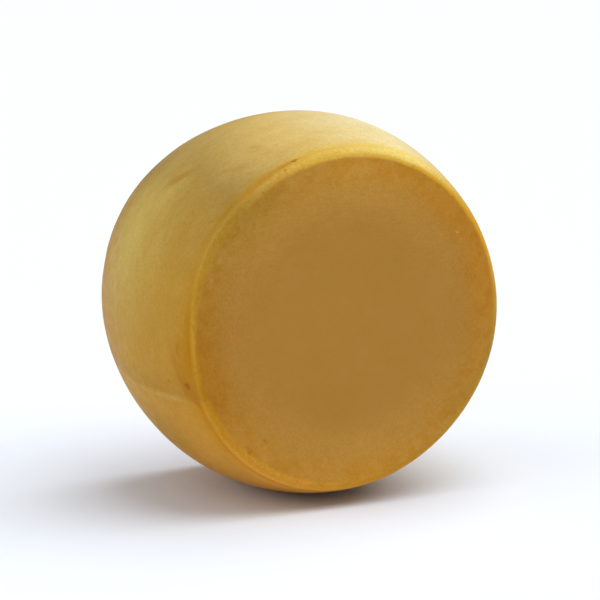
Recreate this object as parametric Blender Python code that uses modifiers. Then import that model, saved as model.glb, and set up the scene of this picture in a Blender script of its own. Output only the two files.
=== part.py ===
"""A hard cheese wheel with a barrel-shaped side, standing on the belly of its side.

Metres, +Z up. The wheel's axis lies along Y and its front face looks towards -Y.
The origin is on the ground, under the middle of the wheel.
Angles round the axis are counted from +X towards +Z.
"""
import math

import bmesh
import bpy
from mathutils import Vector

# driving dimensions of the barrel
BELLY_RADIUS = 0.200
HEIGHT = 0.2335
EDGE_RADIUS = 0.1768
BARREL_POWER = 1.9
RIM_ROUNDING = 0.011

# groove that the edge of the mould leaves beside each rim
GROOVE_FROM_FACE = 0.0086
GROOVE_WIDTH = 0.013
GROOVE_DEPTH = 0.0008

# ridge that the joint of the mould band leaves across the side
SEAM_ANGLE = math.radians(-159.9)
SEAM_TWIST = math.radians(2.2)
SEAM_HEIGHT = 0.0006
SEAM_WIDTH = 0.0080
SEAM_END = 0.0085
SEAM_FADE_POWER = 10

# lobes that put the wheel out of round: count, height, angle of the first crest
LOBES = (
    (2, 0.00046, math.radians(58.5)),
    (4, 0.00092, math.radians(-19.5)),
    (5, 0.00036, math.radians(-8.8)),
)

# depth of belly that the wheel's own weight has flattened
FOOT_DEPTH = 0.0020
GROUND_THICKNESS = 0.008

# fineness of the faceted surface
TURN_STEPS = 96
SIDE_STEPS = 20
GROOVE_STEPS = 6
ROUNDING_STEPS = 6
FACE_RINGS = 3
SEAM_STEPS = 30
SEAM_ROUNDNESS = 8
MERGE_DISTANCE = 0.00001
SHARP_ANGLE = math.radians(30)

RIND_COLOUR = (0.46, 0.27, 0.065, 1.0)
RIND_ROUGHNESS = 0.55

HALF = HEIGHT / 2


def clear_scene():
    for item in list(bpy.data.objects):
        bpy.data.objects.remove(item)


def new_collection(name):
    collection = bpy.data.collections.new(name)
    bpy.context.scene.collection.children.link(collection)
    return collection


def new_object(name, data, collection):
    item = bpy.data.objects.new(name, data)
    collection.objects.link(item)
    return item


def rind_material():
    material = bpy.data.materials.new("rind")
    material.use_nodes = True
    shader = material.node_tree.nodes["Principled BSDF"]
    shader.inputs["Base Color"].default_value = RIND_COLOUR
    shader.inputs["Roughness"].default_value = RIND_ROUGHNESS
    shader.inputs["Metallic"].default_value = 0.0
    return material


def side_radius(axial):
    """Radius of the plain barrel at a distance from the mid-plane."""
    return BELLY_RADIUS - (BELLY_RADIUS - EDGE_RADIUS) * (abs(axial) / HALF) ** BARREL_POWER


def groove_dip(axial):
    """Depth of the rim's groove, a smooth trough round its middle line."""
    offset = (abs(axial) - (HALF - GROOVE_FROM_FACE)) / (GROOVE_WIDTH / 2)
    if abs(offset) >= 1:
        return 0.0
    return GROOVE_DEPTH * 0.5 * (1 + math.cos(math.pi * offset))


def rim_arc():
    """Rounding between the side and the face: its centre and its first angle from the face."""
    slope = (BELLY_RADIUS - EDGE_RADIUS) * BARREL_POWER / HALF
    lean = math.atan(slope)
    centre_axial = HALF - RIM_ROUNDING
    centre_radius = EDGE_RADIUS + slope * RIM_ROUNDING - RIM_ROUNDING / math.cos(lean)
    return centre_axial, centre_radius, math.pi / 2 - lean


def half_profile():
    """(radius, axial) points from the middle of the front face down to the belly."""
    centre_axial, centre_radius, first_angle = rim_arc()
    points = []
    for ring in range(FACE_RINGS):
        points.append((centre_radius * ring / FACE_RINGS, HALF))
    for step in range(ROUNDING_STEPS + 1):
        angle = first_angle * step / ROUNDING_STEPS
        radius = centre_radius + RIM_ROUNDING * math.sin(angle)
        axial = centre_axial + RIM_ROUNDING * math.cos(angle)
        points.append((radius - groove_dip(axial), axial))
    top = points[-1][1]
    groove_foot = HALF - GROOVE_FROM_FACE - GROOVE_WIDTH / 2
    for step in range(1, GROOVE_STEPS + 1):
        axial = top + (groove_foot - top) * step / GROOVE_STEPS
        points.append((side_radius(axial) - groove_dip(axial), axial))
    half_side_steps = SIDE_STEPS // 2
    for step in range(1, half_side_steps + 1):
        axial = groove_foot * (1 - step / half_side_steps)
        points.append((side_radius(axial), axial))
    return points


def turned_wheel(collection):
    """The barrel, turned about Z, with its front face up."""
    front = half_profile()
    back = [(radius, -axial) for radius, axial in reversed(front[:-1])]
    outline = front + back
    mesh = bpy.data.meshes.new("wheel_profile")
    corners = [(radius, 0.0, axial) for radius, axial in outline]
    edges = [(index, index + 1) for index in range(len(outline) - 1)]
    mesh.from_pydata(corners, edges, [])
    wheel = new_object("turned_wheel", mesh, collection)
    screw = wheel.modifiers.new("turn", "SCREW")
    screw.axis = "Z"
    screw.angle = math.tau
    screw.steps = TURN_STEPS
    screw.render_steps = TURN_STEPS
    screw.use_merge_vertices = True
    screw.merge_threshold = MERGE_DISTANCE
    return wheel


def seam_ridge(collection):
    """A round bar sunk in the side: only a low rib of it stands proud, and its ends dip under the surface."""
    bar_radius = (SEAM_WIDTH ** 2 / 4 + SEAM_HEIGHT ** 2) / (2 * SEAM_HEIGHT)
    curve = bpy.data.curves.new("seam", "CURVE")
    curve.dimensions = "3D"
    curve.bevel_depth = bar_radius
    curve.bevel_resolution = SEAM_ROUNDNESS
    curve.use_fill_caps = True
    spline = curve.splines.new("POLY")
    spline.points.add(SEAM_STEPS)
    reach = HALF - SEAM_END
    for step in range(SEAM_STEPS + 1):
        share = 2 * step / SEAM_STEPS - 1
        axial = reach * share
        angle = SEAM_ANGLE + SEAM_TWIST * axial / HALF
        sunk = bar_radius - SEAM_HEIGHT * (1 - 2 * share ** SEAM_FADE_POWER)
        radius = side_radius(axial) - sunk
        place = (radius * math.cos(angle), radius * math.sin(angle), axial, 1.0)
        spline.points[step].co = place
    return new_object("seam_ridge", curve, collection)


def plain_mesh(item, name):
    """Mesh of an object with its modifiers, closed at the caps."""
    graph = bpy.context.evaluated_depsgraph_get()
    mesh = bpy.data.meshes.new_from_object(item.evaluated_get(graph))
    mesh.name = name
    work = bmesh.new()
    work.from_mesh(mesh)
    bmesh.ops.remove_doubles(work, verts=work.verts, dist=MERGE_DISTANCE)
    bmesh.ops.recalc_face_normals(work, faces=work.faces)
    work.to_mesh(mesh)
    work.free()
    return mesh


def fused_wheel(collection):
    """Wheel and seam as one body."""
    wheel = turned_wheel(collection)
    bar = seam_ridge(collection)
    ridge = new_object("ridge", plain_mesh(bar, "ridge"), collection)
    union = wheel.modifiers.new("seam", "BOOLEAN")
    union.operation = "UNION"
    union.solver = "EXACT"
    union.object = ridge
    mesh = plain_mesh(wheel, "cheese_wheel")
    for item in (wheel, bar, ridge):
        bpy.data.objects.remove(item)
    return mesh


def out_of_round(angle):
    """How far the belly stands out at an angle round the axis."""
    return sum(height * math.cos(count * (angle - crest)) for count, height, crest in LOBES)


def make_uneven(mesh):
    """Moves each point in or out along its radius."""
    for vertex in mesh.vertices:
        x, y, z = vertex.co
        stretch = 1 + out_of_round(math.atan2(y, x)) / BELLY_RADIUS
        vertex.co = Vector((x * stretch, y * stretch, z))


def stand_up(wheel):
    """Turns the front face to -Y, with the middle of the wheel over the origin."""
    wheel.rotation_euler = (math.pi / 2, 0.0, 0.0)
    left = min(vertex.co.x for vertex in wheel.data.vertices)
    right = max(vertex.co.x for vertex in wheel.data.vertices)
    lowest = min(vertex.co.y for vertex in wheel.data.vertices)
    wheel.location = (-(left + right) / 2, 0.0, -lowest - FOOT_DEPTH)


def flatten_foot(wheel, collection):
    """Cuts off what would reach below the ground."""
    bpy.ops.mesh.primitive_cube_add(size=1.0)
    ground = bpy.context.active_object
    ground.name = "ground"
    for holder in list(ground.users_collection):
        holder.objects.unlink(ground)
    collection.objects.link(ground)
    ground.scale = (BELLY_RADIUS, HEIGHT, GROUND_THICKNESS)
    ground.location = (0.0, 0.0, -GROUND_THICKNESS / 2)
    ground.hide_render = True
    ground.display_type = "WIRE"
    cut = wheel.modifiers.new("foot", "BOOLEAN")
    cut.operation = "DIFFERENCE"
    cut.solver = "EXACT"
    cut.object = ground


def build():
    clear_scene()
    model = new_collection("cheese_wheel")
    cutters = new_collection("cutters")
    mesh = fused_wheel(model)
    make_uneven(mesh)
    mesh.shade_smooth()
    mesh.set_sharp_from_angle(angle=SHARP_ANGLE)
    mesh.materials.clear()
    mesh.materials.append(rind_material())
    wheel = new_object("cheese_wheel", mesh, model)
    stand_up(wheel)
    flatten_foot(wheel, cutters)


build()
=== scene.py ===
"""Looks of a whole hard cheese wheel, standing on the belly of its side.

The wheel's axis lies along Y, and its front face looks towards -Y.
Angles round the axis are counted from +X towards +Z, and "away" is the angle from the crown, to either side.
Axial distances are counted from the mid-plane towards the front.
"""

import math

import bmesh
import bpy
import numpy as np
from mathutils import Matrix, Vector, noise


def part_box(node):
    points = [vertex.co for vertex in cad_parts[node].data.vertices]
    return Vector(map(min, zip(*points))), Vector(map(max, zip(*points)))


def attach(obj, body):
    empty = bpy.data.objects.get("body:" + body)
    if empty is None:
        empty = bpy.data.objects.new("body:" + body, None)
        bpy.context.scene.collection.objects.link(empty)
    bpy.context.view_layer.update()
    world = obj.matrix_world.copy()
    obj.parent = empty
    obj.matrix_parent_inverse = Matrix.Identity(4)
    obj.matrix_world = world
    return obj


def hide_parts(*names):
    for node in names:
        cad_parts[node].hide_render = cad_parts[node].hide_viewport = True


NODE = "cheese_wheel"

# form of the wheel, in metres
BELLY_RADIUS = 0.200
EDGE_RADIUS = 0.1768
BARREL_POWER = 1.9
RIM_ROUNDING = 0.011
GROOVE_FROM_FACE = 0.0086
GROOVE_WIDTH = 0.013
GROOVE_DEPTH = 0.0008
# bends of the groove towards or away from the mid-plane: angle, reach in degrees, distance
GROOVE_BENDS = ((181, 27, -0.0028), (148, 28, 0.0032), (-120, 35, 0.0046))
SEAM_ANGLE = math.radians(-159.9)
SEAM_TWIST = math.radians(2.2)
# axial distance over which the seam's coloured line turns by the twist
SEAM_LINE_LENGTH = 0.117
SEAM_HEIGHT = 0.0006
SEAM_WIDTH = 0.0080
SEAM_FULL_FROM = 0.030
SEAM_FAINT_FROM = -0.040
SEAM_FAINT = 0.2
LOBES = (
    (2, 0.00046, math.radians(58.5)),
    (4, 0.00092, math.radians(-19.5)),
    (5, 0.00036, math.radians(-8.8)),
)
GROUND_SOFTNESS = 0.0005

# hollows of the uneven rind: size across and depth, in metres
LUMPS = ((0.075, 0.00038), (0.030, 0.00024), (0.011, 0.00010))
# pits under the darkest marks: depth, and their reach for each metre of the mark's size
PIT_DEPTH = 0.0005
PIT_SPREAD = 1.3
# how far inside the edge's radius the relief of the side begins
RELIEF_INSIDE_EDGE = 0.004

# colours of the side, from the pale crown down to the underside, partly the rind's own and partly painted
# light
# painted highlight on the cream crown, painted shade on the olive band, painted bounce light on the amber
# underside
CREAM = (0.82, 0.67, 0.325)
STRAW = (0.620, 0.422, 0.119)
OLIVE = (0.360, 0.218, 0.046)
GOLD = (0.470, 0.250, 0.027)
RUST = (0.466, 0.229, 0.017)
AMBER = (0.645, 0.295, 0.031)
CROWN_ANGLE = math.radians(68)
# degrees away from the crown, and the colour there
SIDE_TONES = ((0, CREAM), (34, STRAW), (64, OLIVE), (97, GOLD), (127, RUST), (176, AMBER))
# the side's noise is stretched round the wheel by this factor
BELT_STRETCH = 2.2
# the pale belt, partly paler rind and partly painted sheen: its colour, angle away from the crown and reach,
# axial middle and reach
PALE_BELT_AND_SHEEN = (0.545, 0.384, 0.084)
BELT_AWAY = math.radians(86)
BELT_AWAY_REACH = math.radians(38)
BELT_AXIAL = -0.013
BELT_AXIAL_REACH = 0.096
# painted shade at the back of the upper side: angle away from the crown and reach, axial start and end, tint
BACK_SHADE_AWAY = math.radians(32)
BACK_SHADE_AWAY_REACH = math.radians(52)
BACK_SHADE_STARTS = 0.005
BACK_SHADE_FULL = -0.060
BACK_SHADE_TINT = (0.85, 0.82, 0.62)
# patches of the side: degrees away from the crown and reach, axial middle and reach, tint
SIDE_TINTS = (
    (15, 30, 0.030, 0.055, (1.0, 1.05, 1.20)),
    (127, 28, 0.000, 0.075, (1.04, 1.10, 0.92)),
    (152, 28, -0.035, 0.075, (0.90, 0.97, 0.75)),
)
# the seam's pale line, a painted highlight along the ridge: colour, middle and half width across the ridge,
# distances from the face where it shows
SEAM_HIGHLIGHT = (0.60, 0.41, 0.10)
SEAM_LINE_MIDDLE = 0.0016
SEAM_LINE_HALF_WIDTH = 0.0062
SEAM_LINE_SHOWS = (0.012, 0.036)
# painted shade below the seam: tint and strength, and the distances below it where the shade sets in
SEAM_SHADE_TINT = (0.84, 0.82, 0.70)
SEAM_SHADE_STRENGTH = 0.7
SEAM_SHADE_REACH = (-0.030, -0.002)

# angles away from the crown where the groove starts and where it is fully deep
GROOVE_STARTS = math.radians(28)
GROOVE_FULL = math.radians(62)
# degrees away from the crown, and how strongly rim and groove are stained there
RIM_STAIN = (
    (0, 0.6),
    (40, 0.9),
    (56, 0.5),
    (70, 0.8),
    (86, 0.15),
    (104, 0.7),
    (116, 1.0),
    (152, 1.0),
    (180, 0.6),
)
# distances from the face where a stain starts to fade and where it ends: deep yellow, bead, golden edge
RIM_BAND = (0.005, 0.023)
BEAD_BAND = (0.004, 0.011)
GOLDEN_BAND = (0.001, 0.004)
RIM_TINT = (1.02, 0.92, 0.40)
# the brighter bead along the underside is partly the rind's colour and partly painted light
LOW_RIM_TINT_AND_LIGHT = (1.04, 1.10, 1.70)
# the painted highlight on the bead's crest: its share of the groove's distance from the face, the shift from
# there, reach and tint
CREST_SHARE = 0.45
CREST_SHIFT = -0.0006
CREST_REACH = 0.0025
CREST_HIGHLIGHT_TINT = (1.12, 1.16, 1.65)
GROOVE_LINE_REACH = 0.0040
GROOVE_TINT = (0.93, 0.84, 0.45)
RIGHT_RIM = (0.63, 0.315, 0.011)
RIGHT_RIM_ANGLE = math.radians(22)
RIGHT_RIM_REACH = math.radians(42)
# stretch of the left rim with the strongest painted highlight on the crest beside the darkest groove
LEFT_RIM_ANGLE = math.radians(-174)
LEFT_RIM_REACH = math.radians(24)
LEFT_CREST_HIGHLIGHT_TINT = (1.10, 1.16, 1.90)
# stretch of the upper left rim with a golden edge
GOLDEN_ANGLE = math.radians(116)
GOLDEN_REACH = math.radians(44)
GOLDEN_TINT = (1.15, 1.09, 1.12)
# stretch of the left rim where the deep yellow reaches farther from the face, and how much farther
STAINED_ANGLE = math.radians(-164)
STAINED_REACH = math.radians(30)
STAINED_FARTHER = 0.008
# the gold line along the upper right edge of the face: middle angle and reach, radius and half width
EDGE_GOLD = (0.74, 0.375, 0.013)
EDGE_LINE_ANGLE = math.radians(60)
EDGE_LINE_REACH = math.radians(66)
EDGE_LINE_RADIUS = 0.1724
EDGE_LINE_HALF_WIDTH = 0.0036
# radii between which the colours of the face give way to those of the side
FACE_COLOURS_END = 0.1668
SIDE_COLOURS_START = 0.1718
# stretches where they give way farther out: angle, reach in degrees, distance
LATE_STRETCHES = ((40, 75, 0.0036), (178, 45, 0.0008))

# colours of the faces
FACE = (0.440, 0.209, 0.033)
FACE_BRIGHT = (0.498, 0.248, 0.041)
RING_BROWN = (0.424, 0.185, 0.015)
RING_RUST = (0.425, 0.168, 0.011)
RING_GOLD = (0.505, 0.232, 0.027)
RING_BRIGHT = (0.562, 0.259, 0.030)
RING_SOFT = (0.462, 0.216, 0.027)
RING_ORANGE = (0.492, 0.202, 0.016)
RING_OLIVE = (0.430, 0.211, 0.026)
# angle in degrees, and the colour of the face's outer ring there; the bright tone near the bottom is partly
# painted bounce light from the floor
RING_TONES = (
    (-180, RING_BROWN),
    (-160, RING_RUST),
    (-130, RING_GOLD),
    (-80, RING_BRIGHT),
    (-35, RING_SOFT),
    (15, RING_ORANGE),
    (45, RING_ORANGE),
    (88, RING_BRIGHT),
    (125, RING_OLIVE),
    (150, RING_OLIVE),
    (180, RING_BROWN),
)
# radii between which the face turns bright at top and bottom (at the bottom partly painted bounce light from
# the floor), takes the ring's colours, and turns blotchy
BRIGHT_BETWEEN = (0.095, 0.135)
RING_BETWEEN = (0.128, 0.162)
BLOTCHY_BETWEEN = (0.135, 0.165)
# how far blotches and wiped streaks move red, green and blue
BLOTCH_SHADE = (-0.025, -0.065, -0.24)
STREAK_SHADE = (1.0, 1.2, 2.2)

# how far the mottling moves red, green and blue, and its least strength for the clouds
SIDE_MOTTLE = (0.9, 1.2, 3.0)
FACE_MOTTLE = (0.75, 1.0, 3.2)
LEAST_CLOUDS = 0.7

# fine relief of the rind, in metres
PEBBLE_SIZE = 0.0050
PEBBLE_HEIGHT = 0.00030
GRAIN_SIZE = 0.0014
GRAIN_HEIGHT = 0.00007
PORES_PER_METRE = 240.0
PORE_DEPTH = 0.00006

# gloss of the rind
RIND_ROUGHNESS = (0.44, 0.60)
RIND_SPECULAR = 0.17
RIND_SPECULAR_TINT = (1.0, 0.85, 0.50, 1.0)

# colours of marks, and of painted shade (SHADE)
ORANGE = (0.455, 0.190, 0.003)
SMEAR = (0.36, 0.168, 0.012)
SHADE = (0.42, 0.205, 0.004)
BROWN = (0.40, 0.155, 0.004)
SPECK = (0.40, 0.135, 0.006)
DARK_BROWN = (0.31, 0.100, 0.0)
GLINT = (0.74, 0.42, 0.12)

# the ragged edges of marks: noise per metre and reach; full reach of a mark for each metre of its size
RAGGED_SCALE = 260.0
RAGGED_REACH = 0.006
MARK_SPREAD = 1.4
# how far a mark reaches through the rind
SIDE_MARK_THROUGH = 0.02
FACE_MARK_THROUGH = 0.01

# marks on the side, later ones over earlier ones: axial, angle in degrees, reach along, reach around,
# turn in degrees, colour, strength; the DARK_BROWN ones are pits as well
SIDE_MARKS = (
    # the first, broad SHADE patch is painted shade below the seam
    (0.0050, -143.0, 0.0550, 0.0380, 0, SHADE, 0.6),
    (-0.0988, 160.0, 0.0160, 0.0300, 20, GOLD, 0.5),
    (-0.0856, 145.5, 0.0140, 0.0260, 20, GOLD, 0.5),
    (0.0075, 134.3, 0.0065, 0.0190, -40, SMEAR, 0.6),
    (0.0691, 123.8, 0.0050, 0.0180, -40, SMEAR, 0.2),
    (0.0589, 113.8, 0.0080, 0.0100, -20, SMEAR, 0.2),
    (0.1088, 124.0, 0.0052, 0.0420, 3, ORANGE, 0.6),
    (0.1085, 177.0, 0.0028, 0.0160, 0, ORANGE, 0.6),
    (0.1025, -169.0, 0.0120, 0.0330, 0, ORANGE, 0.95),
    (0.1000, -162.0, 0.0080, 0.0140, 10, BROWN, 0.6),
    (0.0900, -170.0, 0.0046, 0.0180, 8, BROWN, 0.35),
    (0.0970, -176.0, 0.0026, 0.0080, -15, BROWN, 0.6),
    (0.0945, -163.5, 0.0030, 0.0120, 15, BROWN, 0.45),
    (0.1080, 112.0, 0.0030, 0.0110, 0, ORANGE, 0.6),
    (0.1062, -156.5, 0.0026, 0.0070, 20, BROWN, 0.7),
    (0.1000, -165.8, 0.0022, 0.0050, 10, BROWN, 0.7),
    (0.1016, -163.1, 0.0031, 0.0039, 0, DARK_BROWN, 1.0),
    (0.0742, -163.8, 0.0020, 0.0028, 20, BROWN, 0.7),
    (0.0710, -162.2, 0.0014, 0.0020, 0, BROWN, 0.4),
    (0.1075, 108.8, 0.0020, 0.0036, 0, DARK_BROWN, 0.8),
    (0.1141, 113.5, 0.0014, 0.0016, 0, BROWN, 0.6),
)
# marks on the front face: radius, angle in degrees, half width, half height, colour, strength
FACE_MARKS = (
    (0.1491, -129.2, 0.0022, 0.0020, SPECK, 0.75),
    (0.1676, -131.5, 0.0026, 0.0026, SPECK, 0.6),
    (0.1514, 33.0, 0.0030, 0.0012, GLINT, 0.4),
    (0.1722, 64.5, 0.0024, 0.0014, SPECK, 0.4),
    (0.1690, 52.0, 0.0036, 0.0026, ORANGE, 0.6),
    (0.1700, 44.5, 0.0026, 0.0030, ORANGE, 0.5),
    (0.1660, 24.2, 0.0018, 0.0020, SPECK, 0.6),
    (0.1633, 139.0, 0.0020, 0.0020, BROWN, 0.5),
    (0.1621, 142.5, 0.0026, 0.0022, BROWN, 0.5),
    (0.1699, 124.0, 0.0016, 0.0016, SPECK, 0.5),
    (0.1686, 155.2, 0.0018, 0.0024, GLINT, 0.15),
    (0.1633, 160.0, 0.0018, 0.0022, GLINT, 0.15),
    (0.1625, 152.5, 0.0030, 0.0030, GLINT, 0.10),
    (0.1640, 162.0, 0.0030, 0.0030, GLINT, 0.10),
)

# the photograph's view: where the camera stands, seen from the wheel's middle
CAMERA_AZIMUTH = math.radians(-26.26)
CAMERA_ELEVATION = math.radians(11.76)
CAMERA_DISTANCE = 3.2
BELLY_RADIUS_PIXELS = 189.3
PICTURE_PIXELS = 600
WHEEL_MIDDLE_PIXEL = (297.8, 300.6)
SENSOR = 36.0

# ground and surroundings
FLOOR_RADIUS = 60.0
FLOOR_COLOUR = (0.82, 0.85, 0.90, 1.0)
AMBIENT = 0.30
AMBIENT_COLOUR = (0.90, 0.98, 1.10, 1.0)

# lights: name, azimuth from the camera's and elevation in degrees, strength, spread in degrees
SUNS = (
    ("key", 100, 64, 0.82, 70),
    ("front", -35, 58, 0.16, 60),
    ("fill", -78, 10, 0.34, 60),
)

# fineness of the mesh
TURN_STEPS = 416
SEAM_GATHER = 3.0
SEAM_GATHER_WIDTH = math.radians(3.0)
FINE_STEP = 0.00025
# reach of the rim's zone; distance between the mesh's rings there, its growth beyond, its largest value
RIM_ZONE = 0.012
RIM_SPACING = 0.0008
SPACING_GROWTH = 0.10
PLAIN_SPACING = 0.0030
# within each radius, a face's rings keep one point in so many
RING_THINNING = ((0.02, 8), (0.04, 4), (0.08, 2))


class Form:
    """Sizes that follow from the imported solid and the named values."""

    def __init__(self):
        low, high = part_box(NODE)
        self.half = (high.y - low.y) / 2
        angles = np.linspace(0, math.tau, 3600, endpoint=False)
        reach = BELLY_RADIUS + out_of_round(angles)
        self.centre_x = low.x - (reach * np.cos(angles)).min()
        self.centre_z = high.z - (reach * np.sin(angles)).max()


def out_of_round(angle):
    """How far the belly stands out at an angle round the axis."""
    return sum(height * np.cos(count * (angle - crest)) for count, height, crest in LOBES)


def side_radius(axial, half):
    """Radius of the plain barrel at a distance from the mid-plane."""
    return BELLY_RADIUS - (BELLY_RADIUS - EDGE_RADIUS) * (np.abs(axial) / half) ** BARREL_POWER


def smooth_bump(offset):
    """One at 0, falling smoothly to zero at -1 and 1."""
    return 1 - smooth_step(np.abs(offset))


def smooth_step(share):
    """Zero up to 0, one from 1, smooth between."""
    share = np.clip(share, 0, 1)
    return share * share * (3 - 2 * share)


def half_profile(half):
    """Fine (radius, axial) arrays from the middle of the face, round the rim, to the mid-plane."""
    slope = (BELLY_RADIUS - EDGE_RADIUS) * BARREL_POWER / half
    lean = math.atan(slope)
    centre_axial = half - RIM_ROUNDING
    centre_radius = EDGE_RADIUS + slope * RIM_ROUNDING - RIM_ROUNDING / math.cos(lean)
    face = np.arange(0, centre_radius, FINE_STEP)
    turn = np.arange(0, math.pi / 2 - lean, FINE_STEP / RIM_ROUNDING)
    arc_axial = centre_axial + RIM_ROUNDING * np.cos(turn)
    side = np.arange(arc_axial[-1] - FINE_STEP, 0, -FINE_STEP)
    side = np.append(side, 0.0)
    radius = np.concatenate([face, centre_radius + RIM_ROUNDING * np.sin(turn), side_radius(side, half)])
    axial = np.concatenate([np.full_like(face, half), arc_axial, side])
    return radius, axial


def profile_stations(half):
    """Stations of the mesh along the half profile: rows of radius, axial and the two parts of the normal."""
    radius, axial = half_profile(half)
    length = np.concatenate([[0], np.cumsum(np.hypot(np.diff(radius), np.diff(axial)))])
    from_rim = np.hypot(radius - EDGE_RADIUS, axial - (half - RIM_ROUNDING * 0.6))
    spacing = RIM_SPACING + SPACING_GROWTH * np.clip(from_rim - RIM_ZONE, 0, None)
    spacing = np.clip(spacing, RIM_SPACING, PLAIN_SPACING)
    count = np.concatenate([[0], np.cumsum(np.diff(length) / spacing[1:])])
    wanted = np.linspace(0, count[-1], round(count[-1]) + 1)
    columns = (radius, axial, -np.gradient(axial, length), np.gradient(radius, length))
    return np.stack([np.interp(wanted, count, column) for column in columns], axis=1)


def turn_angles():
    """Angles of the mesh round the axis, close together at the seam."""
    fine = np.linspace(0, math.tau, 7200, endpoint=False) + SEAM_ANGLE
    density = 1 + SEAM_GATHER * np.exp(-((turned_by(fine, SEAM_ANGLE) / SEAM_GATHER_WIDTH) ** 2))
    count = np.concatenate([[0], np.cumsum(density)])
    edges = np.append(fine, SEAM_ANGLE + math.tau)
    wanted = np.linspace(0, count[-1], TURN_STEPS, endpoint=False)
    return np.interp(wanted, count, edges)


def turned_by(angle, start):
    """Angle from a start, between minus and plus half a turn."""
    return (angle - start + math.pi) % math.tau - math.pi


def groove_dip(axial, angle, half):
    """The groove beside each rim, which dies out at the crown."""
    place = GROOVE_FROM_FACE
    for degrees, reach, distance in GROOVE_BENDS:
        place = place + distance * smooth_bump(turned_by(angle, math.radians(degrees)) / math.radians(reach))
    offset = half - np.abs(axial) - place
    away = np.abs(turned_by(angle, CROWN_ANGLE))
    deep = smooth_step((away - GROOVE_STARTS) / (GROOVE_FULL - GROOVE_STARTS))
    return GROOVE_DEPTH * deep * smooth_bump(offset / (GROOVE_WIDTH / 2))


def seam_ridge(axial, angle, half):
    """The low ridge across the side, which is faint towards the back."""
    around = turned_by(angle, SEAM_ANGLE + SEAM_TWIST * axial / half) * BELLY_RADIUS
    share = smooth_step((axial - SEAM_FAINT_FROM) / (SEAM_FULL_FROM - SEAM_FAINT_FROM))
    height = SEAM_HEIGHT * (SEAM_FAINT + (1 - SEAM_FAINT) * share)
    return height * smooth_bump(around / (SEAM_WIDTH / 2))


def pits(axial, angle):
    """Shallow pits under the darkest marks of the side."""
    dip = np.zeros_like(axial)
    for place, degrees, along, around, _, colour, _ in SIDE_MARKS:
        if colour is not DARK_BROWN:
            continue
        arc = turned_by(angle, math.radians(degrees)) * BELLY_RADIUS
        offset = np.hypot((axial - place) / (along * PIT_SPREAD), arc / (around * PIT_SPREAD))
        dip += PIT_DEPTH * smooth_bump(offset)
    return dip


def lump_hollow(points):
    """Depth of the shallow uneven hollows at each point, from zero inwards."""
    depth = np.zeros(len(points))
    for size, deepest in LUMPS:
        values = [noise.noise(Vector(point) / size) for point in points.tolist()]
        depth += deepest * (0.5 - 0.5 * np.clip(values, -1, 1))
    return depth


def ring_steps(radius):
    """Rings near the middle of a face have fewer points."""
    for limit, step in RING_THINNING:
        if radius < limit:
            return step
    return 1


def wheel_mesh(form):
    """The whole wheel as one closed mesh."""
    front = profile_stations(form.half)
    back = front[-2::-1] * (1, -1, 1, -1)
    stations = np.concatenate([front, back])
    angles = turn_angles()
    points = []
    rings = []
    for station in stations:
        chosen = angles[::ring_steps(station[0])] if station[0] > 0 else angles[:1]
        rings.append((len(points), len(chosen)))
        points.extend((*station, angle) for angle in chosen)
    return place_points(np.array(points), form), ring_faces(rings)


def ring_faces(rings):
    """Faces between neighbouring rings, which may differ in their number of points."""
    faces = []
    for (a, na), (b, nb) in zip(rings, rings[1:]):
        if na == 1:
            faces.extend((a, b + (j + 1) % nb, b + j) for j in range(nb))
            continue
        if nb == 1:
            faces.extend((b, a + j, a + (j + 1) % na) for j in range(na))
            continue
        few = min(na, nb)
        ratio_a, ratio_b = na // few, nb // few
        for j in range(few):
            first = [a + (j * ratio_a + k) % na for k in range(ratio_a + 1)]
            second = [b + (j * ratio_b + k) % nb for k in range(ratio_b, -1, -1)]
            faces.append(tuple(first + second))
    return faces


def place_points(table, form):
    """World positions of the mesh's points, with relief, lobes and the flattened foot."""
    radius, axial, out_radius, out_axial, angle = table.T
    plain = np.stack([radius * np.cos(angle), -axial, radius * np.sin(angle)], axis=1)
    sunk = lump_hollow(plain)
    on_side = radius > EDGE_RADIUS - RELIEF_INSIDE_EDGE
    half = form.half
    raised = seam_ridge(axial, angle, half) - groove_dip(axial, angle, half) - pits(axial, angle)
    relief = np.where(on_side, raised, 0.0) - sunk
    axial = axial + relief * out_axial
    radius = (radius + relief * out_radius) * (1 + out_of_round(angle) / BELLY_RADIUS)
    x = form.centre_x + radius * np.cos(angle)
    z = form.centre_z + radius * np.sin(angle)
    z = 0.5 * (z + np.sqrt(z * z + GROUND_SOFTNESS ** 2))
    return np.stack([x, -axial, z], axis=1)


def build_wheel(form, material):
    points, faces = wheel_mesh(form)
    mesh = bpy.data.meshes.new("wheel")
    mesh.from_pydata(points.tolist(), [], faces)
    mesh.validate()
    mesh.shade_smooth()
    mesh.materials.append(material)
    wheel = bpy.data.objects.new("rind", mesh)
    bpy.context.scene.collection.objects.link(wheel)
    return wheel


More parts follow.
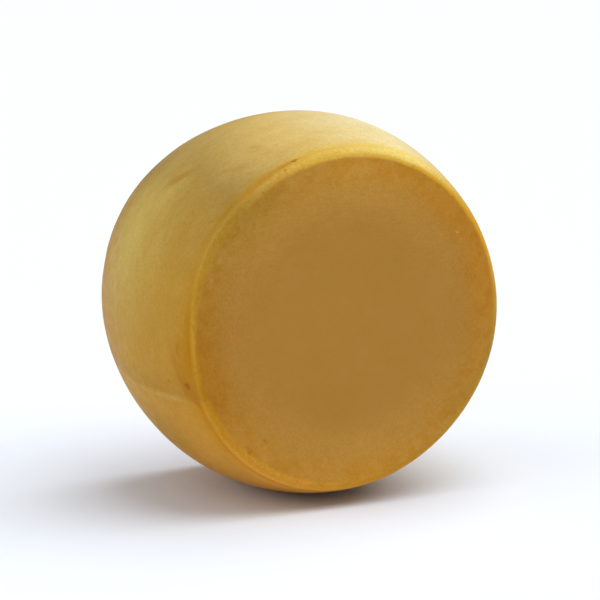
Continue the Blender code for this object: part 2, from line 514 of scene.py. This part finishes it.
class Graph:
    """One material, with short calls for its nodes."""

    def __init__(self, name):
        self.material = bpy.data.materials.new(name)
        self.material.use_nodes = True
        self.tree = self.material.node_tree
        self.shader = self.tree.nodes["Principled BSDF"]

    def node(self, kind, inputs, output=0, **settings):
        """A new node; its inputs are values or sockets, by number or name."""
        item = self.tree.nodes.new("ShaderNode" + kind)
        for name, value in settings.items():
            setattr(item, name, value)
        for key, value in inputs.items():
            self.put(item.inputs[key], value)
        return item.outputs[output]

    def put(self, socket, value):
        if isinstance(value, bpy.types.NodeSocket):
            self.tree.links.new(value, socket)
        else:
            socket.default_value = value

    def maths(self, operation, *values):
        return self.node("Math", dict(enumerate(values)), operation=operation)

    def vector(self, operation, *values, output=0):
        return self.node("VectorMath", dict(enumerate(values)), output, operation=operation)

    def fade(self, value, start, end, low=0.0, high=1.0):
        """Low before the start, high after the end, smooth between."""
        inputs = {0: value, 1: start, 2: end, 3: low, 4: high}
        return self.node("MapRange", inputs, interpolation_type="SMOOTHSTEP")

    def hill(self, value, middle, reach):
        """One at the middle, falling smoothly to zero at the reach to both sides."""
        offset = self.maths("ABSOLUTE", self.maths("SUBTRACT", value, middle))
        return self.fade(offset, 0.0, reach, 1.0, 0.0)

    def blend(self, factor, first, second):
        return self.node("Mix", {0: factor, 6: first, 7: second}, 2, data_type="RGBA")

    def tinted(self, colour, tint, factor):
        """Colour times a tint, as far as the factor says."""
        return self.blend(factor, colour, self.vector("MULTIPLY", colour, tint))

    def shaded(self, colour, amount, channels):
        """Colour made lighter or darker by an amount about zero, by a share of its own in each channel."""
        shade = self.vector("MULTIPLY_ADD", amount, channels, (1.0, 1.0, 1.0))
        return self.vector("MULTIPLY", colour, shade)

    def ramp(self, value, stops):
        """Colours between stops of position and colour."""
        item = self.tree.nodes.new("ShaderNodeValToRGB")
        elements = item.color_ramp.elements
        while len(elements) < len(stops):
            elements.new(0.5)
        for element, (position, colour) in zip(elements, stops):
            element.position = position
            element.color = rgba(colour)
        self.put(item.inputs[0], value)
        return item.outputs[0]

    def noise(self, position, size, detail=2.0):
        """Soft noise about one half, with patches of the size in metres."""
        return self.node("TexNoise", {"Vector": position, "Scale": 1 / size, "Detail": detail})

    def drift(self, position, size, reach, detail=2.0):
        """Noise about zero, within about plus and minus the reach."""
        centred = self.maths("SUBTRACT", self.noise(position, size, detail), 0.5)
        return self.maths("MULTIPLY", centred, reach * 3)


class Place:
    """Where a point of the surface lies on the wheel, as sockets of a graph."""

    def __init__(self, graph, form):
        self.position = graph.node("TexCoord", {}, "Object")
        offset = graph.vector("SUBTRACT", self.position, (form.centre_x, 0, form.centre_z))
        spoke = graph.vector("MULTIPLY", offset, (1, 0, 1))
        self.radius = graph.vector("LENGTH", spoke, output=1)
        self.outward = graph.vector("NORMALIZE", spoke)
        self.right = graph.vector("DOT_PRODUCT", self.outward, (1, 0, 0), output=1)
        self.up = graph.vector("DOT_PRODUCT", self.outward, (0, 0, 1), output=1)
        self.axial = graph.vector("DOT_PRODUCT", self.position, (0, -1, 0), output=1)
        self.from_face = graph.maths("SUBTRACT", form.half, graph.maths("ABSOLUTE", self.axial))
        self.away = self.turned_from(graph, CROWN_ANGLE)
        self.belt = graph.vector("MULTIPLY", self.position, (1, BELT_STRETCH, 1))
        jitter = graph.node("TexNoise", {"Vector": self.position, "Scale": RAGGED_SCALE}, "Color")
        jitter = graph.vector("SUBTRACT", jitter, (0.5, 0.5, 0.5))
        self.ragged = graph.vector("MULTIPLY_ADD", jitter, (RAGGED_REACH,) * 3, self.position)

    def turned_from(self, graph, angle):
        """Angle round the axis from a given angle, from zero to half a turn."""
        spoke = (math.cos(angle), 0, math.sin(angle))
        return graph.maths("ARCCOSINE", graph.vector("DOT_PRODUCT", self.outward, spoke, output=1))


def rgba(colour):
    return (*colour, 1.0)


def side_tone_and_light(graph, place):
    """Colour ramp round the side, from the cream crown to the amber underside; partly painted highlight,
    shade and bounce light.
    """
    angle = graph.maths("ADD", place.away, graph.drift(place.belt, 0.085, 0.10))
    stops = [(degrees / 180, colour) for degrees, colour in SIDE_TONES]
    return graph.ramp(graph.maths("DIVIDE", angle, math.pi), stops)


def side_patches(graph, place, colour):
    """Patches of the side that differ a little from the tones round the wheel."""
    for degrees, reach, axial, length, tint in SIDE_TINTS:
        turned = graph.hill(place.away, math.radians(degrees), math.radians(reach))
        patch = graph.maths("MULTIPLY", turned, graph.hill(place.axial, axial, length))
        colour = graph.tinted(colour, tint, patch)
    return colour


def pale_belt_and_sheen(graph, place, colour):
    """Partly paler rind, partly painted sheen, along the belly of the shaded sides."""
    around = graph.hill(place.away, BELT_AWAY, BELT_AWAY_REACH)
    along = graph.hill(place.axial, BELT_AXIAL, BELT_AXIAL_REACH)
    patchy = graph.fade(graph.noise(place.belt, 0.07), 0.25, 0.6, 0.6, 1.0)
    belt = graph.maths("MULTIPLY", graph.maths("MULTIPLY", around, along), patchy)
    return graph.blend(belt, colour, rgba(PALE_BELT_AND_SHEEN))


def painted_back_shade(graph, place, colour):
    """Painted shade, darker towards the back of the upper side."""
    upper = graph.hill(place.away, BACK_SHADE_AWAY, BACK_SHADE_AWAY_REACH)
    back = graph.fade(place.axial, BACK_SHADE_STARTS, BACK_SHADE_FULL)
    return graph.tinted(colour, BACK_SHADE_TINT, graph.maths("MULTIPLY", upper, back))


def rim_band(graph, place, stain, colour):
    """Deeper yellow close to the rims, brighter along the underside partly as painted light, and golden at
    the right.
    """
    depth = graph.maths("ADD", place.from_face, graph.drift(place.belt, 0.05, 0.0020))
    stained = graph.hill(place.turned_from(graph, STAINED_ANGLE), 0.0, STAINED_REACH)
    band = graph.fade(graph.maths("MULTIPLY_ADD", stained, -STAINED_FARTHER, depth), *RIM_BAND, 1.0, 0.0)
    band = graph.maths("MULTIPLY", band, graph.maths("MULTIPLY_ADD", stain, 0.5, 0.5))
    band = graph.maths("MULTIPLY", band, graph.fade(place.right, 0.4, 0.7, 1.0, 0.8))
    colour = graph.tinted(colour, RIM_TINT, band)
    narrow = graph.fade(depth, *BEAD_BAND, 1.0, 0.0)
    # brighter along the underside, partly painted light
    low = graph.fade(place.up, -0.40, -0.75)
    colour = graph.tinted(colour, LOW_RIM_TINT_AND_LIGHT, graph.maths("MULTIPLY", low, narrow))
    golden = graph.hill(place.turned_from(graph, GOLDEN_ANGLE), 0.0, GOLDEN_REACH)
    golden = graph.maths("MULTIPLY", golden, graph.fade(depth, *GOLDEN_BAND, 1.0, 0.0))
    colour = graph.tinted(colour, GOLDEN_TINT, golden)
    right = graph.hill(place.turned_from(graph, RIGHT_RIM_ANGLE), 0.0, RIGHT_RIM_REACH)
    return graph.blend(graph.maths("MULTIPLY", right, narrow), colour, rgba(RIGHT_RIM))


def groove_stain_and_crest_highlight(graph, place, stain, colour):
    """Orange-brown line in the groove, and a painted highlight along the crest of the bead beside it."""
    groove = GROOVE_FROM_FACE
    for degrees, reach, distance in GROOVE_BENDS:
        near = graph.hill(place.turned_from(graph, math.radians(degrees)), 0.0, math.radians(reach))
        groove = graph.maths("MULTIPLY_ADD", near, distance, groove)
    depth = graph.maths("ADD", place.from_face, graph.drift(place.position, 0.008, 0.0005))
    low = graph.fade(place.away, GROOVE_STARTS, GROOVE_FULL, 0.6, 1.0)
    line = graph.hill(depth, groove, GROOVE_LINE_REACH)
    line = graph.maths("MULTIPLY", line, graph.maths("MULTIPLY", stain, low))
    colour = graph.tinted(colour, GROOVE_TINT, line)
    # painted highlight along the bead's crest, strongest on the left
    crest = graph.hill(depth, graph.maths("MULTIPLY_ADD", groove, CREST_SHARE, CREST_SHIFT), CREST_REACH)
    shown = graph.maths("MULTIPLY", crest, graph.fade(place.away, GROOVE_STARTS, GROOVE_FULL))
    colour = graph.tinted(colour, CREST_HIGHLIGHT_TINT, graph.maths("MULTIPLY", shown, 0.8))
    left = graph.hill(place.turned_from(graph, LEFT_RIM_ANGLE), 0.0, LEFT_RIM_REACH)
    return graph.tinted(colour, LEFT_CREST_HIGHLIGHT_TINT, graph.maths("MULTIPLY", shown, left))


def seam_highlight_and_shade(graph, place, colour):
    """Painted highlight along the seam's ridge, over painted shade below it."""
    tangent = (-math.sin(SEAM_ANGLE), 0, math.cos(SEAM_ANGLE))
    spoke = (math.cos(SEAM_ANGLE), 0, math.sin(SEAM_ANGLE))
    along_turn = graph.vector("DOT_PRODUCT", place.outward, tangent, output=1)
    turn = graph.maths("MULTIPLY_ADD", place.axial, -SEAM_TWIST / SEAM_LINE_LENGTH, along_turn)
    across = graph.maths("MULTIPLY", turn, BELLY_RADIUS)
    near = graph.fade(graph.vector("DOT_PRODUCT", place.outward, spoke, output=1), 0.90, 0.97)
    length = graph.fade(place.from_face, *SEAM_LINE_SHOWS)
    # painted shade below the seam
    below = graph.fade(across, *SEAM_SHADE_REACH)
    below = graph.maths("MULTIPLY", below, graph.fade(across, 0.0, 0.004, 1.0, 0.0))
    below = graph.maths("MULTIPLY", graph.maths("MULTIPLY", below, near), SEAM_SHADE_STRENGTH)
    colour = graph.tinted(colour, SEAM_SHADE_TINT, below)
    # painted highlight along the ridge
    strength = graph.fade(graph.noise(place.position, 0.016), 0.35, 0.65, 0.15, 0.5)
    strength = graph.maths("MULTIPLY", strength, graph.fade(place.axial, -0.05, 0.05, 0.35, 1.0))
    line = graph.hill(across, SEAM_LINE_MIDDLE, SEAM_LINE_HALF_WIDTH)
    line = graph.maths("MULTIPLY", line, graph.maths("MULTIPLY", near, length))
    return graph.blend(graph.maths("MULTIPLY", line, strength), colour, rgba(SEAM_HIGHLIGHT))


def side_colour(graph, place):
    stops = [(degrees / 180, (strength,) * 3) for degrees, strength in RIM_STAIN]
    stain = graph.ramp(graph.maths("DIVIDE", place.away, math.pi), stops)
    colour = side_tone_and_light(graph, place)
    colour = side_patches(graph, place, colour)
    colour = pale_belt_and_sheen(graph, place, colour)
    colour = painted_back_shade(graph, place, colour)
    colour = rim_band(graph, place, stain, colour)
    colour = groove_stain_and_crest_highlight(graph, place, stain, colour)
    colour = seam_highlight_and_shade(graph, place, colour)
    return mottled(graph, place.belt, colour, 1.0, SIDE_MOTTLE)


def face_colour(graph, place):
    """Even brown-yellow, brighter at the top and bottom, with a deeper and blotchy outer ring; the
    brightening at the bottom is partly painted bounce light.
    """
    upright = graph.maths("POWER", graph.maths("ABSOLUTE", place.up), 2.0)
    reach = graph.maths("ADD", place.radius, graph.drift(place.position, 0.04, 0.006))
    # brighter towards top and bottom; at the bottom partly painted bounce light from the floor
    bright = graph.maths("MULTIPLY", graph.fade(reach, *BRIGHT_BETWEEN), upright)
    colour = graph.blend(bright, rgba(FACE), rgba(FACE_BRIGHT))
    stops = [(degrees / 360 + 0.5, tone) for degrees, tone in RING_TONES]
    turn = graph.maths("DIVIDE", graph.maths("ARCTAN2", place.up, place.right), math.tau)
    ring = graph.ramp(graph.maths("ADD", turn, 0.5), stops)
    colour = graph.blend(graph.fade(reach, *RING_BETWEEN), colour, ring)
    blotches = graph.fade(graph.noise(place.position, 0.012, 4.0), 0.38, 0.62, -1.0, 1.0)
    blotches = graph.maths("MULTIPLY", blotches, graph.fade(reach, *BLOTCHY_BETWEEN))
    colour = graph.shaded(colour, blotches, BLOTCH_SHADE)
    colour = graph.shaded(colour, wiped_streaks(graph, place), STREAK_SHADE)
    busy = graph.fade(place.radius, 0.080, 0.150, 0.22, 0.85)
    return mottled(graph, place.position, colour, busy, FACE_MOTTLE)


def wiped_streaks(graph, place):
    """Level streaks in the upper part of the face, as a drift about zero."""
    wiped = graph.vector("MULTIPLY", place.position, (1, 1, 6))
    streaks = graph.maths("MULTIPLY", graph.hill(place.radius, 0.115, 0.060), graph.fade(place.up, 0.1, 0.8))
    return graph.maths("MULTIPLY", streaks, graph.drift(wiped, 0.012, 0.060))


def spot_mask(graph, place, centre, turn, reach):
    """One in the middle of an oval spot, falling to zero at its ragged edge."""
    inputs = {"Vector": place.ragged, "Location": centre, "Rotation": turn, "Scale": reach}
    local = graph.node("Mapping", inputs, vector_type="TEXTURE")
    inside = graph.node("TexGradient", {"Vector": local}, 1, gradient_type="SPHERICAL")
    return graph.fade(inside, 0.0, 0.7)


def add_marks(graph, place, form, colour):
    blotchy = graph.fade(graph.noise(place.position, 0.007, 3.0), 0.36, 0.60, 0.35, 1.0)
    for axial, degrees, along, around, turn, tone, strength in SIDE_MARKS:
        angle = math.radians(degrees)
        radius = side_radius(axial, form.half)
        centre = wheel_point(form, radius, axial, angle)
        rotation = (math.radians(turn), -angle, 0)
        reach = (SIDE_MARK_THROUGH, along * MARK_SPREAD, around * MARK_SPREAD)
        mask = spot_mask(graph, place, centre, rotation, reach)
        if tone is ORANGE:
            mask = graph.maths("MULTIPLY", mask, blotchy)
        colour = graph.blend(graph.maths("MULTIPLY", mask, strength), colour, rgba(tone))
    for radius, degrees, width, height, tone, strength in FACE_MARKS:
        centre = wheel_point(form, radius, form.half, math.radians(degrees))
        reach = (width * MARK_SPREAD, FACE_MARK_THROUGH, height * MARK_SPREAD)
        mask = spot_mask(graph, place, centre, (0, 0, 0), reach)
        colour = graph.blend(graph.maths("MULTIPLY", mask, strength), colour, rgba(tone))
    return colour


def wheel_point(form, radius, axial, angle):
    return (form.centre_x + radius * math.cos(angle), -axial, form.centre_z + radius * math.sin(angle))


def edge_line(graph, place, colour):
    """Thin orange-gold line along the upper right edge of the face."""
    edge = graph.maths("ADD", place.radius, graph.drift(place.position, 0.010, 0.0010))
    near = graph.hill(place.turned_from(graph, EDGE_LINE_ANGLE), 0.0, EDGE_LINE_REACH)
    line = graph.maths("MULTIPLY", graph.hill(edge, EDGE_LINE_RADIUS, EDGE_LINE_HALF_WIDTH), near)
    return graph.blend(graph.maths("MULTIPLY", line, 0.85), colour, rgba(EDGE_GOLD))


def mottled(graph, position, colour, strength, channels):
    """Cloudy tone and fine speckle, by channel; the clouds stay visible where the strength is low."""
    clouds = graph.drift(position, 0.050, 0.035)
    clouds = graph.maths("ADD", clouds, graph.drift(position, 0.016, 0.040, 3.0))
    speckle = graph.drift(position, 0.0065, 0.050)
    speckle = graph.maths("ADD", speckle, graph.drift(position, 0.0026, 0.120, 1.0))
    speckle = graph.maths("MULTIPLY", speckle, strength)
    cloudy = graph.maths("MAXIMUM", strength, LEAST_CLOUDS)
    return graph.shaded(colour, graph.maths("MULTIPLY_ADD", clouds, cloudy, speckle), channels)


def grain_height(graph, place):
    """Height of the fine relief in metres: pebbling, grain and pores."""
    pebbles = graph.maths("MULTIPLY", graph.noise(place.position, PEBBLE_SIZE, 2.0), PEBBLE_HEIGHT)
    grain = graph.noise(place.position, GRAIN_SIZE, 1.0)
    grain = graph.maths("MULTIPLY_ADD", grain, GRAIN_HEIGHT, pebbles)
    pores = graph.node("TexVoronoi", {"Vector": place.ragged, "Scale": PORES_PER_METRE})
    pores = graph.fade(pores, 0.05, 0.28, -PORE_DEPTH, 0.0)
    return graph.maths("ADD", grain, pores)


def side_share(graph, place):
    """Zero where the rind has the colours of the face, one where it has those of the side."""
    edge = graph.maths("ADD", place.radius, graph.drift(place.position, 0.02, 0.0006))
    for degrees, reach, distance in LATE_STRETCHES:
        late = graph.hill(place.turned_from(graph, math.radians(degrees)), 0.0, math.radians(reach))
        edge = graph.maths("MULTIPLY_ADD", late, -distance, edge)
    return graph.fade(edge, FACE_COLOURS_END, SIDE_COLOURS_START)


def rind_material(form):
    """The rind of the whole wheel, coloured by where each point lies on it."""
    graph = Graph("rind")
    place = Place(graph, form)
    colour = graph.blend(side_share(graph, place), face_colour(graph, place), side_colour(graph, place))
    colour = edge_line(graph, place, colour)
    colour = add_marks(graph, place, form, colour)
    shader = graph.shader
    graph.put(shader.inputs["Base Color"], colour)
    roughness = graph.fade(graph.noise(place.position, 0.012, 3.0), 0.3, 0.7, *RIND_ROUGHNESS)
    graph.put(shader.inputs["Roughness"], roughness)
    shader.inputs["Specular IOR Level"].default_value = RIND_SPECULAR
    shader.inputs["Specular Tint"].default_value = RIND_SPECULAR_TINT
    bump = graph.node("Bump", {"Height": grain_height(graph, place), "Distance": 1.0, "Strength": 1.0})
    graph.put(shader.inputs["Normal"], bump)
    return graph.material


def floor_material():
    material = bpy.data.materials.new("floor")
    material.use_nodes = True
    shader = material.node_tree.nodes["Principled BSDF"]
    shader.inputs["Base Color"].default_value = FLOOR_COLOUR
    shader.inputs["Roughness"].default_value = 0.9
    shader.inputs["Specular IOR Level"].default_value = 0.1
    return material


def build_floor():
    """A plain round floor that fills the photograph's view."""
    mesh = bpy.data.meshes.new("floor")
    work = bmesh.new()
    bmesh.ops.create_circle(work, cap_ends=True, radius=FLOOR_RADIUS, segments=64)
    work.to_mesh(mesh)
    work.free()
    mesh.materials.append(floor_material())
    floor = bpy.data.objects.new("floor", mesh)
    bpy.context.scene.collection.objects.link(floor)


def camera_back():
    """Unit vector from the wheel towards the camera."""
    level = math.cos(CAMERA_ELEVATION)
    return Vector((
        math.sin(CAMERA_AZIMUTH) * level,
        -math.cos(CAMERA_AZIMUTH) * level,
        math.sin(CAMERA_ELEVATION),
    ))


def build_camera(form):
    data = bpy.data.cameras.new("camera")
    data.sensor_width = SENSOR
    data.lens = SENSOR * BELLY_RADIUS_PIXELS * CAMERA_DISTANCE / BELLY_RADIUS / PICTURE_PIXELS
    camera = bpy.data.objects.new("camera", data)
    bpy.context.scene.collection.objects.link(camera)
    back = camera_back()
    turn = back.to_track_quat("Z", "Y")
    pixel = BELLY_RADIUS / BELLY_RADIUS_PIXELS
    right = turn @ Vector((1, 0, 0))
    up = turn @ Vector((0, 1, 0))
    middle = Vector((form.centre_x, 0, form.centre_z))
    aim = middle + right * (PICTURE_PIXELS / 2 - WHEEL_MIDDLE_PIXEL[0]) * pixel
    aim -= up * (PICTURE_PIXELS / 2 - WHEEL_MIDDLE_PIXEL[1]) * pixel
    camera.location = aim + back * CAMERA_DISTANCE
    camera.rotation_mode = "QUATERNION"
    camera.rotation_quaternion = turn
    bpy.context.scene.camera = camera


def soft_sun(name, azimuth, elevation, strength, spread):
    """A far softbox; azimuth counts from the camera's, and strength 1 lights a facing white card fully."""
    data = bpy.data.lights.new(name, "SUN")
    data.energy = strength * math.pi
    data.angle = math.radians(spread)
    light = bpy.data.objects.new(name, data)
    bpy.context.scene.collection.objects.link(light)
    turn = CAMERA_AZIMUTH + math.radians(azimuth)
    rise = math.radians(elevation)
    towards = Vector((
        math.sin(turn) * math.cos(rise),
        -math.cos(turn) * math.cos(rise),
        math.sin(rise),
    ))
    light.rotation_mode = "QUATERNION"
    light.rotation_quaternion = towards.to_track_quat("Z", "Y")


def studio_world():
    """Soft surroundings: seen directly they are white, and they light the wheel as a dimmer grey."""
    world = bpy.data.worlds.new("studio")
    world.use_nodes = True
    nodes, links = world.node_tree.nodes, world.node_tree.links
    seen = nodes["Background"]
    seen.inputs["Color"].default_value = (1, 1, 1, 1)
    seen.inputs["Strength"].default_value = 1.0
    glow = nodes.new("ShaderNodeBackground")
    glow.inputs["Color"].default_value = AMBIENT_COLOUR
    glow.inputs["Strength"].default_value = AMBIENT
    rays = nodes.new("ShaderNodeLightPath")
    choice = nodes.new("ShaderNodeMixShader")
    links.new(rays.outputs["Is Camera Ray"], choice.inputs[0])
    links.new(glow.outputs[0], choice.inputs[1])
    links.new(seen.outputs[0], choice.inputs[2])
    links.new(choice.outputs[0], nodes["World Output"].inputs["Surface"])
    bpy.context.scene.world = world


def build_light():
    studio_world()
    for name, azimuth, elevation, strength, spread in SUNS:
        soft_sun(name, azimuth, elevation, strength, spread)
    bpy.context.scene.view_settings.view_transform = "Standard"


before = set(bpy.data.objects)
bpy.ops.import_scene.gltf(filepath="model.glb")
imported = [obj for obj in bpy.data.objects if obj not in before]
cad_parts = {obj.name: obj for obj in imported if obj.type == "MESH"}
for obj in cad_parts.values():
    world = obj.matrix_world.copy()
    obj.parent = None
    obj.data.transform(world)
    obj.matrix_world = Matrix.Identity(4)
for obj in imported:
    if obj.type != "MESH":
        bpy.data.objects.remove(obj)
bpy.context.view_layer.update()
form = Form()
wheel = build_wheel(form, rind_material(form))
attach(wheel, "root")
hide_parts(NODE)
build_floor()
build_camera(form)
build_light()
